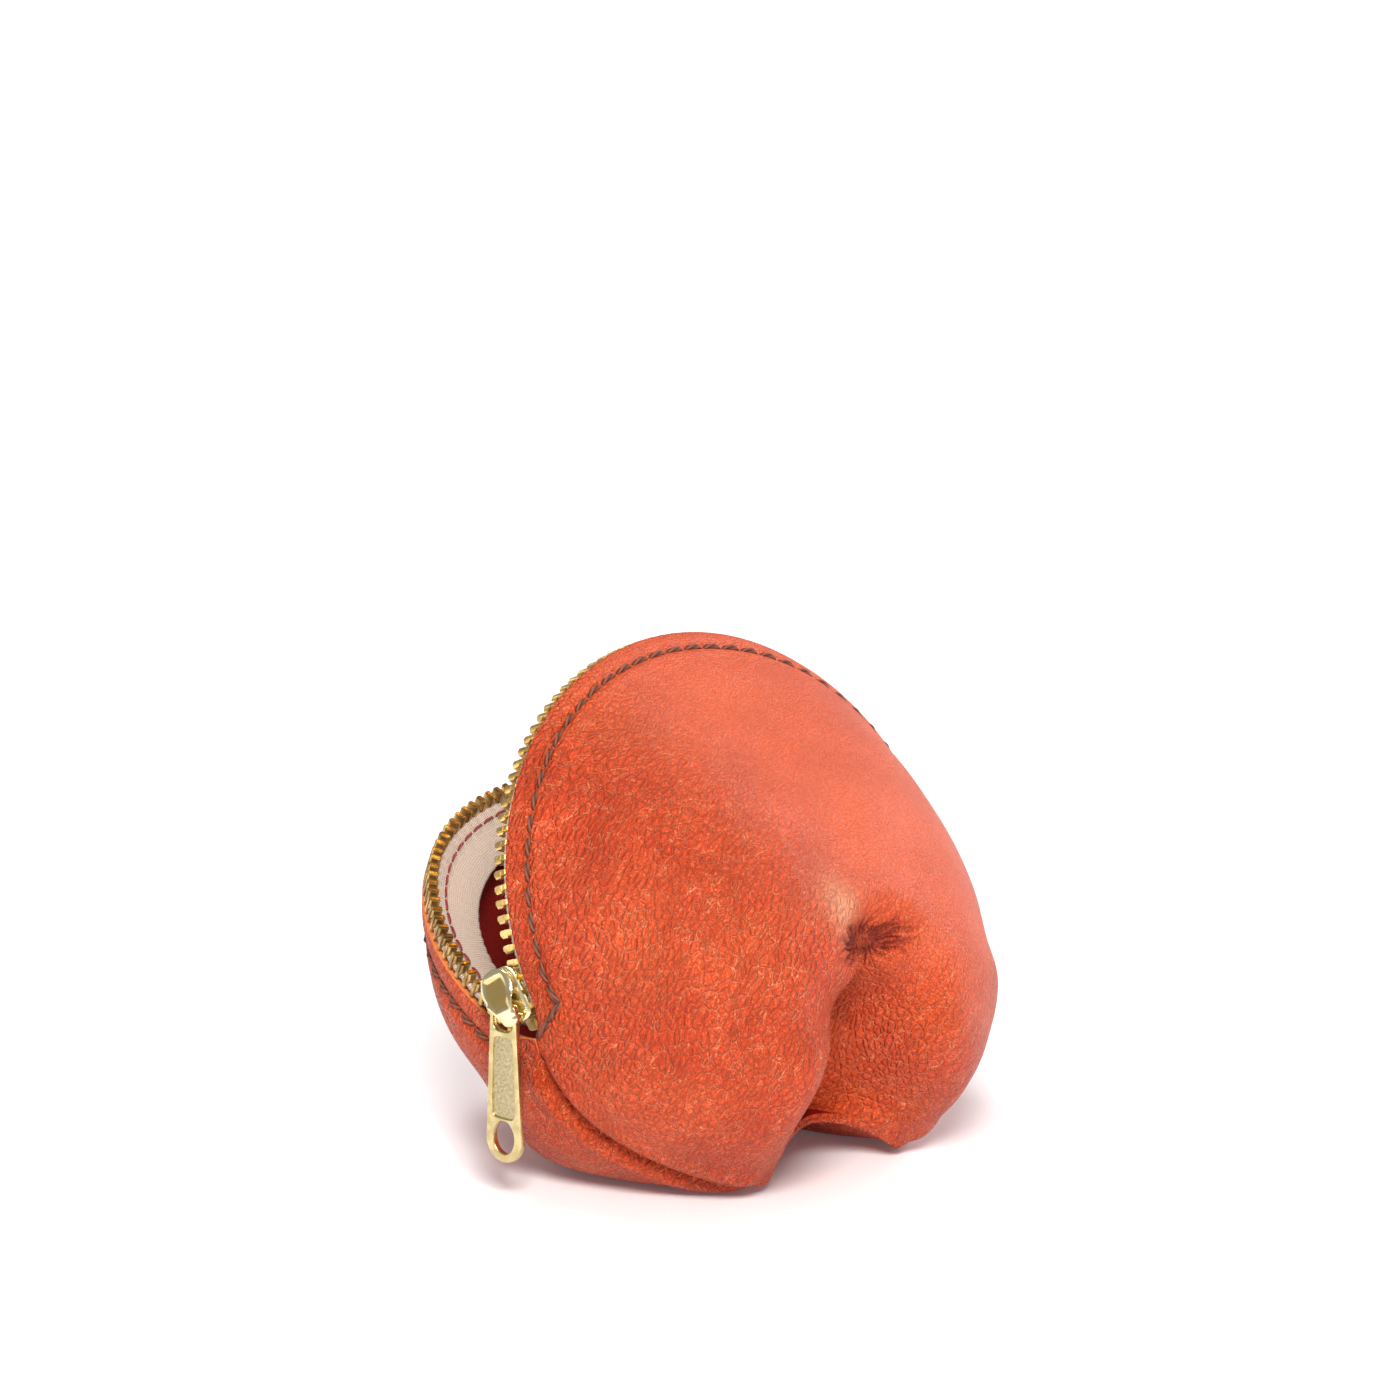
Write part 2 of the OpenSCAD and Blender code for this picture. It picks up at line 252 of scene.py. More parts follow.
rear_set = dict(dimple=np.array((0, 40.0, 8)), leave=(
    (0, 6, 4), (-4, 4, -1), (-8, 10, -11), (-6, 14, -22), (4, 6, -30), (8, -4, -36),
    (0, -14, -36)), reach=(
    (0, -4, -1), (-10, -6, -12), (-20, 0, -14), (-22, 8, -14), (-16, 14, -14), (-10, 22, -13),
    (0, 26, -9)))


def cubic(a, b, c, d, q):
    return (1 - q) ** 3 * a + 3 * (1 - q) ** 2 * q * b + 3 * (1 - q) * q * q * c + q ** 3 * d


def handle(stations, s):
    """A smooth curve through the seven handles of a half panel, at each s from 0 to 6."""
    flip = np.array((-1, 1, 1))
    p = np.array(stations, float)
    p = np.concatenate([[p[1] * flip], p, [p[5] * flip, p[4] * flip]])
    i = np.minimum(np.floor(s).astype(int), 5)
    f = (s - i)[:, None]
    a, b, c, d = (p[i + k] for k in range(4))
    return (2 * b + (c - a) * f + (2 * a - 5 * b + 4 * c - d) * f * f
            + (3 * b - a - 3 * c + d) * f ** 3) / 2


def rim_point(angle, front):
    middle, up = (rim_mid, up_f) if front else \
        (hinge_mid + LIP * out_r + hinge_drop * up_r, up_r)
    return middle + RIM_R * (np.cos(angle) * side_x + np.sin(angle) * up)


def edge_point(s, front):
    if s <= 1:
        return cubic(fold_top, fold_top + (-5, 0, 0), tip + (4, 1.8, 5.5), tip, s)
    if s <= 3:
        q = (s - 1) / 2
        return (1 - q) ** 2 * tip + 2 * (1 - q) * q * seam_bow + q * q * seam_end
    if s <= RIM_S:
        share = (s - 3) / (RIM_S - 3)
        return seam_end + share * (rim_point(rim_end, front) - seam_end)
    share = (s - RIM_S) / (6 - RIM_S)
    return rim_point(rim_end + share * (pi / 2 - rim_end), front)


def panel_grid(front, around, deep):
    """Points of a whole panel: rows run round its edge, columns in to its dimple."""
    given = front_set if front else rear_set
    s = np.linspace(0, 6, around // 2 + 1)
    edge = np.array([edge_point(v, front) for v in s])
    facing = np.array([edge_point(v, not front) for v in s])
    apart = (ramp(s, 3.30, 3.52) + 1 - ramp(s, 3.0, 3.02))[:, None]
    edge = facing + (0.5 + 0.5 * np.minimum(apart, 1)) * (edge - facing)
    for _ in range(14):
        soft = 0.5 * bell(s[1:-1], 1.0, 0.13)[:, None]
        edge[1:-1] += soft * ((edge[:-2] + edge[2:]) / 2 - edge[1:-1])
    leave = edge + handle(given["leave"], s)
    reach = given["dimple"] + handle(given["reach"], s)
    q = np.linspace(0, 1, deep)[None, :, None]
    half = cubic(edge[:, None], leave[:, None], reach[:, None], given["dimple"], q)
    other = half[::-1] * (-1, 1, 1)
    return np.concatenate([half[:-1], other[:-1]])


def relaxed(grid, rounds):
    """The same panel after its creases have eased, with edge and dimple held."""
    for _ in range(rounds):
        mean = (np.roll(grid, 1, 0) + np.roll(grid, -1, 0))[:, 1:-1] \
            + grid[:, :-2] + grid[:, 2:]
        grid = grid.copy()
        grid[:, 1:-1] += 0.5 * (mean / 4 - grid[:, 1:-1])
    return grid


def finer(grid):
    """Twice as many rows and columns, on the smooth curve through the old ones."""
    a, b, c, d = (np.roll(grid, k, 0) for k in (1, 0, -1, -2))
    rows = np.empty((2 * len(grid), *grid.shape[1:]))
    rows[0::2] = grid
    rows[1::2] = (9 * (b + c) - a - d) / 16
    ends = np.concatenate([2 * rows[:, :1] - rows[:, 1:2], rows, 2 * rows[:, -1:] - rows[:, -2:-1]], 1)
    cols = np.empty((len(rows), 2 * rows.shape[1] - 1, 3))
    cols[:, 0::2] = rows
    cols[:, 1::2] = (9 * (ends[:, 1:-2] + ends[:, 2:-1]) - ends[:, :-3] - ends[:, 3:]) / 16
    return cols


def normals(grid, outward):
    du = np.roll(grid, -1, 0) - np.roll(grid, 1, 0)
    dv = np.gradient(grid, axis=1)
    n = np.cross(du, dv)
    n[:, -1] = n[:, -2].mean(0)
    n /= np.linalg.norm(n, axis=2, keepdims=True) + 1e-12
    return n * (1 if (n[:, -1] @ outward).mean() > 0 else -1)


def lengths(grid):
    steps = np.linalg.norm(np.diff(grid, axis=1), axis=2)
    out = np.zeros(grid.shape[:2])
    out[:, 1:] = np.cumsum(steps, 1)
    return out


def bell(x, middle, width):
    return np.exp(-((x - middle) / width) ** 2)


def ramp(x, low, high):
    t = np.clip((x - low) / (high - low), 0, 1)
    return t * t * (3 - 2 * t)


def ripple(points, wave, seed):
    """Smooth made-up unevenness between -1 and 1, from a few fixed waves."""
    rng = np.random.default_rng(seed)
    out = 0
    for _ in range(7):
        direction = rng.normal(size=3)
        direction /= np.linalg.norm(direction) * wave
        out = out + np.sin(2 * pi * points @ direction * rng.uniform(0.7, 1.4) + rng.uniform(0, 6.3))
    return out / 4


def creases(from_pin, round_pin):
    """Narrow tucks that run out from a panel's dimple, each by angle and length."""
    tucks = ((-71, 6), (-58, 4.5), (-45, 7), (-30, 5), (-18, 10), (-5, 11.5), (3, 12), (9, 7),
             (15, 12.5), (21, 8), (27, 11), (36, 10), (50, 6), (75, 5), (100, 6), (125, 5))
    out = 0 * from_pin
    for k, (angle, length) in enumerate(tucks):
        wide = 0.30 + 0.16 * (k % 3)
        for centre in (radians(angle), pi - radians(angle)):
            sway = 0.07 * np.sin(from_pin * (0.8 + 0.11 * (k % 5)) + k * 1.7) * ramp(from_pin, 1, 4)
            off = (round_pin - centre - sway + pi) % (2 * pi) - pi
            fade = ramp(from_pin, 0.4, 2.0) * (1 - ramp(from_pin, 0.35 * length, length))
            out = np.maximum(out, fade * bell(off * np.maximum(from_pin, 0.3), 0, wide))
    return out


def dressed(front):
    """A panel with its rim, stitch line, seam rolls, pinch and wrinkles pressed in."""
    grid = finer(finer(relaxed(panel_grid(front, 168, 40), 30)))
    from_edge = lengths(grid)
    from_pin = from_edge[:, -1:] - from_edge
    across, high = grid[..., 0], grid[..., 2]
    if front:
        rise = ramp(high, 6, 13) * (1 - ramp(high, 31, 43))
        back = 6.5 * bell(across, 0, 11.0) * rise * ramp(from_edge, 0, 4)
        for side in (-8, 8):
            back = back + 3.4 * bell(across, side, 8.0) * bell(high, 35, 7)
        back = back + 3.0 * bell(from_pin, 0, 5.0)
    else:
        back = -2.0 * bell(from_pin, 0, 5.0)
    grid = grid + back[..., None] * (0, 1, 0)
    ease = 0.9 * bell(from_pin, 0, 4.5)[:, 1:-1, None]
    for _ in range(120):
        mean = (np.roll(grid, 1, 0) + np.roll(grid, -1, 0))[:, 1:-1] + grid[:, :-2] + grid[:, 2:]
        grid[:, 1:-1] += ease * (mean / 4 - grid[:, 1:-1])
        grid[:, -1] = grid[:, -2].mean(0)
    n = normals(grid, -np.array((0, 1, 0)) if front else -np.array((0, 0, 1)))
    s = np.linspace(0, 12, len(grid), endpoint=False)[:, None]
    t = np.minimum(s, 12 - s)
    rim = ramp(t, 3.3, 3.6)
    seam = ramp(t, 0.9, 1.1) * (1 - ramp(t, 2.95, 3.15))
    turn = (s - 3.6) / 4.8 * STITCHES
    pull = 0.75 + 0.25 * np.cos(2 * pi * turn)
    lift = rim * (0.5 * bell(from_edge, 1.9, 1.3) - 0.55 * bell(from_edge, STITCH_IN, 0.5) * pull
                  + 0.3 * bell(from_edge, 5.6, 1.2))
    lift = lift + seam * (0.9 * bell(from_edge, 3.2, 2.0) - 1.1 * bell(from_edge, 0, 1.0))
    flat = grid - grid[:, -1:]
    pleats = creases(from_pin, np.arctan2(flat[..., 2 if front else 1], flat[..., 0]))
    lift = lift - 0.75 * pleats + 0.10 * ripple(grid, 11.0, 2) * ramp(from_edge, 4, 9)
    if front:
        lift = lift + 1.2 * bell(from_pin, 9.5, 3.5) * ramp(high, 44, 52)
    else:
        lift = lift + 2.6 * bell(from_edge, 9, 6.5) * bell(t, 3.9, 0.8)
    grid = grid + n * lift[..., None]
    grid[..., 2] = np.where(grid[..., 2] < 0.6, 0.6 * np.exp(np.minimum(grid[..., 2] - 0.6, 0) / 0.6),
                            grid[..., 2])
    return grid, from_edge, from_pin, pleats, normals(grid, n[0, -1])


def solid(name, verts, faces, finish, smooth=True, **stored):
    """A mesh object in millimetres, with named values stored on its points."""
    mesh = bpy.data.meshes.new(name)
    mesh.from_pydata((np.asarray(verts) * MM).tolist(), [], faces)
    mesh.materials.append(finish.material)
    for key, values in stored.items():
        values = np.asarray(values, np.float32)
        kind = "FLOAT_VECTOR" if values.ndim == 2 else "FLOAT"
        layer = mesh.attributes.new(key, kind, "POINT")
        layer.data.foreach_set("vector" if values.ndim == 2 else "value", values.ravel())
    if smooth:
        mesh.shade_smooth()
    piece = bpy.data.objects.new(name, mesh)
    scene.collection.objects.link(piece)
    return piece


def applied(piece):
    """The piece with its modifiers made part of its mesh."""
    graph = bpy.context.evaluated_depsgraph_get()
    mesh = bpy.data.meshes.new_from_object(piece.evaluated_get(graph))
    piece.modifiers.clear()
    piece.data = mesh
    return piece


def grain_place(points):
    """Where the pebbles lie: coordinates whose second axis runs along their long side."""
    long_side = np.array((0.45, -0.10, 0.88))
    long_side /= np.linalg.norm(long_side)
    cross_side = np.cross((0, 1, 0), long_side)
    cross_side /= np.linalg.norm(cross_side)
    third = np.cross(long_side, cross_side)
    sway = np.stack([ripple(points, 17.0, 11), ripple(points, 15.0, 12), ripple(points, 19.0, 13)], -1)
    return points @ np.array((cross_side, long_side, third)).T + 1.0 * sway


def leather_finish():
    """Pebbled grain: cells with painted pale glints along their creases where it is slack, smoother
    where it is taut.
    """
    hide = Finish("leather_grain")
    place = hide.stored("grain")
    taut = hide.stored("taut", "Fac")
    slack = 1 - taut
    sway = hide.noise(place, 0.55, 2.0, "Color")
    spot = hide.node("ShaderNodeVectorMath", {"operation": "MULTIPLY_ADD"},
                     {0: sway, 1: (0.5, 0.5, 0.5), 2: place})
    pebble = hide.cells(hide.scaled(spot, (1.0, 0.55, 1.0)), 0.86)
    second = hide.cells(hide.scaled(spot, (1.0, 0.8, 1.0)), 1.9)
    stroke = hide.noise(hide.scaled(place, (3.6, 1.5, 3.0)), 0.9, 3.0)
    crease = 1 - hide.step(pebble, 0.0, 0.13)
    small = 1 - hide.step(second, 0.0, 0.16)
    dome = hide.step(pebble, 0.0, 0.38)
    fine = hide.noise(hide.scaled(place, (2.2, 2.2, 2.2)), 2.0, 5.0)
    height = dome * (slack * 0.8 + 0.2) - crease * (slack * 0.5 + 0.15) - small * 0.35
    height = height + fine * 0.5 + stroke * 0.6
    patch = hide.noise(place, 0.06, 3.0)
    base = hide.mix(hide.step(patch, 0.35, 0.65), (0.74, 0.062, 0.007), (0.84, 0.092, 0.013))
    base = hide.mix(taut * 0.6, base, (0.88, 0.150, 0.045))
    base = hide.mix(small * 0.30, base, (0.45, 0.020, 0.003))
    # Pale lines along the pebble edges and in thin streaks: painted glints from the pebbles' shoulders.
    pale = hide.step(hide.noise(hide.scaled(place, (1.0, 0.6, 1.0)), 0.45, 3.0), 0.42, 0.66)
    glint_streak = hide.noise(hide.scaled(spot, (1.5, 0.40, 1.5)), 1.0, 2.0) - 0.5
    glint_streak = 1 - hide.step(glint_streak.maths("ABSOLUTE"), 0.0, 0.020)
    line = (1 - hide.step(pebble, 0.0, 0.04)) * (pale * 0.55 + 0.12) + glint_streak * (pale * 0.6 + 0.2)
    base = hide.mix(line.maths("MINIMUM", 1.0) * (slack * 0.75 + 0.25), base, (0.98, 0.36, 0.16))
    # Paler on the crest to the left of the front dimple: a painted highlight.
    base = hide.mix(hide.stored("worn", "Fac") * 0.7, base, (0.98, 0.42, 0.22))
    # Nearly black in the dimple's pit and along its tucks: painted shade.
    base = hide.mix(hide.stored("tuck", "Fac") * 0.85, base, (0.14, 0.006, 0.006))
    hide.set(Base_Color=base, Roughness=0.40 + fine * 0.14,
             Normal=hide.bump(height, 1.0, 0.00065))
    hide.set(Specular_IOR_Level=0.45)
    return hide


def flesh_finish():
    """The suede-like inner side: red from its dye, and dark with painted shade."""
    flesh = Finish("leather_flesh")
    place = flesh.stored("hide")
    nap = flesh.noise(place, 3.0, 6.0)
    flesh.set(Base_Color=flesh.mix(nap, (0.16, 0.004, 0.003), (0.34, 0.014, 0.008)),
              Roughness=0.95, Normal=flesh.bump(nap, 0.6, 0.0006))
    flesh.set(Specular_IOR_Level=0.15)
    return flesh


def cut_finish():
    """The raw edge, paler than the grain."""
    cut = Finish("leather_cut_edge")
    fuzz = cut.noise(cut.stored("hide"), 4.0, 6.0)
    cut.set(Base_Color=cut.mix(fuzz, (0.52, 0.10, 0.02), (0.85, 0.27, 0.06)), Roughness=0.9,
            Normal=cut.bump(fuzz, 0.8, 0.0004))
    return cut


hide_finish = leather_finish()
flesh_side = flesh_finish()
cut_side = cut_finish()
# Below this height the cut edges are turned inside the side seams
SEAM_TOP = 0.0245


def leather_panel(name, front):
    """A panel as a mesh of grain, flesh and cut edge, and its points for the stitches."""
    grid, from_edge, from_pin, pleats, skin = dressed(front)
    rows, cols = grid.shape[:2]
    points = np.concatenate([grid[:, :-1].reshape(-1, 3), grid[:1, -1]])
    where = np.arange(rows * (cols - 1)).reshape(rows, cols - 1)
    nxt = np.roll(where, -1, 0)
    quads = np.stack([where[:, :-1], where[:, 1:], nxt[:, 1:], nxt[:, :-1]], -1).reshape(-1, 4)
    fans = [(int(a), rows * (cols - 1), int(b)) for a, b in zip(where[:, -1], nxt[:, -1])]
    faces = quads.tolist() + fans
    taut = ramp(points[:, 0] + 0.6 * points[:, 2], 10, 48) * ramp(points[:, 2], 20, 45)
    near_pin = np.append(from_pin[:, :-1].ravel(), 0)
    # Painted shade for the pit of the dimple and for the tucks that run out from it.
    tuck = np.maximum(0.75 * bell(near_pin, 0, 3.5), np.append(pleats[:, :-1].ravel(), 0))
    # A painted highlight on the crest to the left of the front dimple, on the front panel only.
    worn = bell(points[:, 0], -7, 3.5) * bell(points[:, 2], 52, 4.5) * (1.0 if front else 0.0)
    piece = solid(name, points + shift, faces, hide_finish, hide=points, taut=taut, tuck=tuck, worn=worn,
                  grain=grain_place(points))
    piece.data.materials.append(flesh_side.material)
    piece.data.materials.append(cut_side.material)
    bm = bmesh.new()
    bm.from_mesh(piece.data)
    out = Vector((0, -1, 0)) if front else Vector((0, 0, -1))
    total = sum((f.normal.dot(out) * f.calc_area() for f in bm.faces), 0.0)
    if total < 0:
        bmesh.ops.reverse_faces(bm, faces=bm.faces)
    bm.to_mesh(piece.data)
    bm.free()
    wall = piece.modifiers.new("wall", "SOLIDIFY")
    wall.thickness = LEATHER_T * MM
    wall.offset = -1
    wall.material_offset = 1
    wall.material_offset_rim = 2
    piece = applied(piece)
    shell = np.empty(6 * len(points))
    piece.data.vertices.foreach_get("co", shell)
    shell = shell.reshape(2, -1, 3)
    shell[1] = shell[0] + (shell[1] - shell[0]) * (0.04 + 0.96 * ramp(near_pin, 4, 13))[:, None]
    piece.data.vertices.foreach_set("co", shell.ravel())
    for face in piece.data.polygons:
        if face.material_index == 2 and face.center.z < SEAM_TOP:
            face.material_index = 0
    return piece, (grid + shift, from_edge, skin)


front_panel, front_skin = leather_panel("front_panel", True)
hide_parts("leather_body")
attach(front_panel, "pouch")

rear_panel, rear_skin = leather_panel("rear_panel", False)
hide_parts("leather_body", "rear_lip_leather")
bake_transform(rear_panel)

# ---------------------------------------------------------------------------
# Zipper tapes: beige twill strips sewn to the lining side of each lip, each
# with a hard corded edge that the teeth are clamped to. Their inner edges are
# gathered, because a straight tape has been bent round the arch.
# ---------------------------------------------------------------------------
CHAIN_R = 48.0
TAPE_OUT = 48.25
CHAIN_END = asin((hinge_drop - 3) / CHAIN_R)


def lip_frame(rear):
    """Centre, upward and outward directions of a lip's plane."""
    if rear:
        return hinge_c + LIP * out_r + hinge_drop * up_r, up_r, out_r
    return rim_c, up_f, out_f


def on_lip(rear, radius, angle, height):
    """Points by radius from the lip's centre, angle, and height above its plane."""
    middle, up, out = lip_frame(rear)
    radius, angle, height = np.broadcast_arrays(radius, angle, height)
    return middle + (radius * np.cos(angle))[..., None] * side_x \
        + (radius * np.sin(angle))[..., None] * up + height[..., None] * out


def sheet_mesh(name, grid, finish, **stored):
    rows, cols = grid.shape[:2]
    at = np.arange(rows * cols).reshape(rows, cols)
    quads = np.stack([at[:-1, :-1], at[1:, :-1], at[1:, 1:], at[:-1, 1:]], -1).reshape(-1, 4)
    stored = {key: np.asarray(v).reshape(rows * cols, -1).squeeze() for key, v in stored.items()}
    return solid(name, grid.reshape(-1, 3), quads.tolist(), finish, **stored)


def loft(name, rings, finish, **stored):
    """A closed solid through rings of points, with a cap on its first and last ring."""
    count, size = rings.shape[:2]
    at = np.arange(count * size).reshape(count, size)
    nxt = np.roll(at, -1, 1)
    quads = np.stack([at[:-1], at[1:], nxt[1:], nxt[:-1]], -1).reshape(-1, 4)
    caps = [at[0].tolist(), at[-1, ::-1].tolist()]
    return solid(name, rings.reshape(-1, 3), quads.tolist() + caps, finish, **stored)


def joined(name, pieces):
    """Several pieces made into one, as points and faces of one mesh."""
    bm = bmesh.new()
    for piece in pieces:
        bm.from_mesh(piece.data)
    mesh = bpy.data.meshes.new(name)
    bm.to_mesh(mesh)
    bm.free()
    mesh.materials.append(pieces[0].data.materials[0])
    for piece in pieces:
        bpy.data.objects.remove(piece)
    whole = bpy.data.objects.new(name, mesh)
    scene.collection.objects.link(whole)
    return whole


def twill_finish():
    """Beige herringbone cotton, with brown blotches of painted shade."""
    twill = Finish("tape_twill")
    weave = twill.stored("weave")
    split = twill.node("ShaderNodeSeparateXYZ", {}, {0: weave})
    across = twill.node("ShaderNodeSeparateXYZ", {}, {0: weave}, 1)
    zig = (across * 0.5).maths("PINGPONG", 0.55)
    rib = ((split + zig) * (2 * pi / 0.55)).maths("SINE") * 0.5 + 0.5
    yarn = (across * (2 * pi / 0.42)).maths("SINE") * 0.5 + 0.5
    fuzz = twill.noise(weave, 2.2, 5.0)
    painted_shade_blotch = twill.noise(weave, 0.35, 3.0)
    shade = rib * 0.55 + yarn * 0.2 + fuzz * 0.4
    base = twill.mix(shade, (0.30, 0.19, 0.14), (0.74, 0.60, 0.48))
    # Brown blotches over the weave: painted shade.
    base = twill.mix(twill.step(painted_shade_blotch, 0.45, 0.75) * 0.35, base, (0.55, 0.38, 0.32))
    twill.set(Base_Color=base, Roughness=0.85, Normal=twill.bump(rib + yarn * 0.5 + fuzz, 0.7, 0.00018))
    twill.set(Specular_IOR_Level=0.3)
    return twill


twill = twill_finish()


def tape(name, rear):
    angle = np.linspace(-CHAIN_END, pi + CHAIN_END, 421)[:, None]
    inward = np.linspace(0, 10, 27)[None, :]
    radius = TAPE_OUT - inward
    height = -0.6 + np.maximum(inward - 1.7, 0) * 0.377
    gather = 0.30 * np.sin(angle * 41 + 1.7 * np.sin(angle * 7)) * ramp(inward, 3.5, 10)
    rib = 0.07 * np.cos(inward * 2 * pi / 0.8) * (inward < 3.0)
    grid = on_lip(rear, radius, angle, height - np.abs(gather) - 0.1 + rib)
    weave = np.stack(np.broadcast_arrays(angle * TAPE_OUT, inward, 0 * angle), -1)
    piece = sheet_mesh(name, grid, twill, weave=weave)
    wall = piece.modifiers.new("wall", "SOLIDIFY")
    wall.thickness = 0.4 * MM
    wall.offset = 0
    return applied(piece)


def cord(name, rear):
    angle = np.linspace(-CHAIN_END, pi + CHAIN_END, 561)[:, None]
    turn = np.linspace(0, 2 * pi, 13)[None, :-1]
    radius = 0.56 + 0.06 * np.cos(turn * 2 + angle * CHAIN_R * 2 * pi / 1.1)
    grid = on_lip(rear, CHAIN_R + radius * np.cos(turn), angle, -0.78 + radius * np.sin(turn))
    weave = np.stack(np.broadcast_arrays(angle * CHAIN_R, turn * 0.4, 0 * angle), -1)
    return loft(name, grid, twill, weave=weave.reshape(-1, 3))


for rear, side, body in ((False, "front", "pouch"), (True, "rear", "rear_lip")):
    strip = tape(side + "_tape_twill", rear)
    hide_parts(side + "_tape")
    edge_cord = cord(side + "_tape_cord", rear)
    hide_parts(side + "_cord")
    for piece, slot_name in ((strip, "tape"), (edge_cord, "cord")):
        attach(piece, body)

# ---------------------------------------------------------------------------
# Teeth and stops: antique brass, pressed round the cord one by one. A tooth has
# two jaws that hug the cord, and a head with a nib on one side and a hollow on
# the other.
# ---------------------------------------------------------------------------


def brass_finish(name, pale, dark, rough, tarnish):
    """Brushed brass, darker in its hollows and in patches of tarnish."""
    brass = Finish(name)
    place = brass.node("ShaderNodeTexCoord", out="Object")
    wear = brass.noise(place, 420.0, 4.0)
    scratch = brass.noise(brass.scaled(place, (1.0, 1.0, 6.0)), 1500.0, 3.0)
    corner = brass.node("ShaderNodeNewGeometry", out="Pointiness")
    old = brass.step(wear, 0.62, 0.38) * tarnish
    old = old + brass.step(corner, 0.5, 0.44) * tarnish
    base = brass.mix(old.maths("MINIMUM", 1.0), pale, dark)
    brass.set(Base_Color=base, Metallic=1.0, Roughness=scratch * 0.12 + old * 0.15 + rough,
              Normal=brass.bump(scratch, 0.12, 0.00005))
    return brass


tooth_brass = brass_finish("tooth_brass", (0.95, 0.68, 0.27), (0.34, 0.21, 0.08), 0.20, 0.5)


def block(low, high, bevel):
    """A box of bmesh geometry with bevelled edges."""
    bm = bmesh.new()
    bmesh.ops.create_cube(bm, size=1)
    size = np.subtract(high, low)
    middle = np.add(high, low) / 2
    bmesh.ops.scale(bm, vec=size, verts=bm.verts)
    bmesh.ops.translate(bm, vec=middle, verts=bm.verts)
    bmesh.ops.bevel(bm, geom=bm.edges[:], offset=bevel, segments=2, affect="EDGES")
    return bm


def taken(bm):
    """Points and faces of some bmesh geometry, which is freed."""
    bm.verts.index_update()
    verts = np.array([tuple(v.co) for v in bm.verts])
    faces = [[v.index for v in f.verts] for f in bm.faces]
    bm.free()
    return verts, faces


def tooth_geometry():
    """Points and faces of one tooth: x out from the mouth, y along, z across."""
    head = block((-1.05, -0.56, -2.55), (1.05, 0.56, -0.30), 0.2)
    end = min(head.faces, key=lambda f: f.calc_center_median().z)
    bmesh.ops.inset_region(head, faces=[end], thickness=0.18)
    bmesh.ops.translate(head, vec=(0, 0, 0.55), verts=end.verts[:])
    side = max(head.faces, key=lambda f: f.calc_center_median().y)
    bmesh.ops.inset_region(head, faces=[side], thickness=0.35)
    bmesh.ops.translate(head, vec=(0, 0.28, -0.25), verts=side.verts[:])
    parts = [head, block((-1.0, -0.50, -0.6), (-0.42, 0.50, 0.72), 0.14),
             block((0.42, -0.50, -0.6), (1.0, 0.50, 0.72), 0.14)]
    verts, faces = [], []
    for part in parts:
        points, sides = taken(part)
        faces += [[v + len(verts) for v in corners] for corners in sides]
        verts += points.tolist()
    return np.array(verts), faces


TEETH = floor((pi + 2 * CHAIN_END) * CHAIN_R / 2.5)
TOOTH_TOP = -0.85
tooth_points, tooth_faces = tooth_geometry()


def placed(rear, angle, radius, height, points):
    """Points given by out, along and across, moved to a place on a lip."""
    middle, up, out = lip_frame(rear)
    outward = np.cos(angle) * side_x + np.sin(angle) * up
    along = -np.sin(angle) * side_x + np.cos(angle) * up
    return middle + radius * outward + height * out + points @ np.array((outward, along, out))


def tooth_row(name, rear):
    rng = np.random.default_rng(7 + rear)
    verts, faces = [], []
    for k in range(TEETH):
        angle = -CHAIN_END + k * (pi + 2 * CHAIN_END) / (TEETH - 1)
        lean = rng.normal(0, 0.03)
        turned = tooth_points @ np.array(((1, 0, 0), (0, cos(lean), sin(lean)),
                                          (0, -sin(lean), cos(lean))))
        faces += [[v + len(verts) * len(tooth_points) for v in f] for f in tooth_faces]
        verts.append(placed(rear, angle, CHAIN_R, TOOTH_TOP, turned))
    piece = solid(name, np.concatenate(verts), faces, tooth_brass)
    piece.data.set_sharp_from_angle(angle=radians(40))
    return piece


for rear, side, body in ((False, "front", "pouch"), (True, "rear", "rear_lip")):
    row = tooth_row(side + "_tooth_row", rear)
    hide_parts(side + "_teeth")
    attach(row, body)

stop_brass = brass_finish("stop_brass", (0.80, 0.62, 0.28), (0.32, 0.22, 0.09), 0.2, 0.5)


def end_stop(name, rear, angle, length):
    bm = block((-1.1, -1.1, -length), (1.15, 1.1, 0), 0.35)
    bmesh.ops.bevel(bm, geom=[e for e in bm.edges if e.calc_length() > 1], offset=0.12, segments=2,
                    affect="EDGES")
    verts, faces = taken(bm)
    piece = solid(name, placed(rear, angle, CHAIN_R, -1.2, verts), faces, stop_brass)
    piece.data.set_sharp_from_angle(angle=radians(40))
    return piece


for name, node, rear, angle, length, body in (
        ("front_end_stop", "front_top_stop", False, -CHAIN_END - radians(2.6), 1.9, "pouch"),
        ("rear_end_stop", "rear_top_stop", True, -CHAIN_END - radians(2.6), 1.9, "rear_lip"),
        ("joint_stop", "bottom_stop", False, pi + CHAIN_END + radians(3.9), 3.2, "pouch")):
    stop = end_stop(name, rear, angle, length)
    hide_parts(node)
    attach(stop, body)

# ---------------------------------------------------------------------------
# Stitching: thick dark brown thread of three strands, one line round each lip,
# turned across the zipper's end in doubled stitches. On the tape side the same
# holes carry a maroon thread.
# ---------------------------------------------------------------------------


